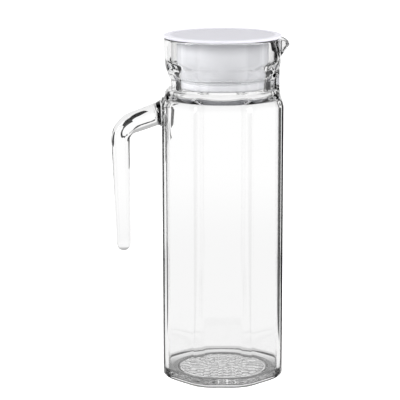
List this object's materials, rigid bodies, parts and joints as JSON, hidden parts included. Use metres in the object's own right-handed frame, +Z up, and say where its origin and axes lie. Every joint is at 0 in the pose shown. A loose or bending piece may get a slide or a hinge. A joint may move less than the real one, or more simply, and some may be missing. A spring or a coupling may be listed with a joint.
{
  "type": "glass pitcher with lid",
  "caption": "Tall octagonal glass pitcher with a round collar and pouring lip, an open hook handle and a push-in plastic lid that lifts out.",
  "frame": {"origin": "on the pitcher's upright axis, in the plane of the foot ring that it stands on", "axes": "+Z up along the body's axis, +X towards the pouring lip with the handle on -X, +Y square to both, away from the side that the picture shows"},
  "size_m": [0.1255, 0.085, 0.2467],
  "materials": {
    "glass": "clear pressed glass, fire polished",
    "handle_glass": "clear pressed glass, fire polished",
    "cap_plastic": "frosted translucent moulded plastic, satin",
    "plug_plastic": "milky translucent moulded plastic, satin",
    "seal": "soft translucent sealing rubber"
  },
  "bodies": {
    "pitcher": {"glass_body": "glass", "handle": "handle_glass"},
    "lid": {"lid_cap": "cap_plastic", "lid_plug": "plug_plastic", "upper_seal_ring": "seal", "lower_seal_ring": "seal"}
  },
  "joints": [
    {"name": "lid_lift", "type": "slide", "parent": "pitcher", "child": "lid", "axis": [0, 0, 1], "range_m": [0, 0.06]}
  ]
}
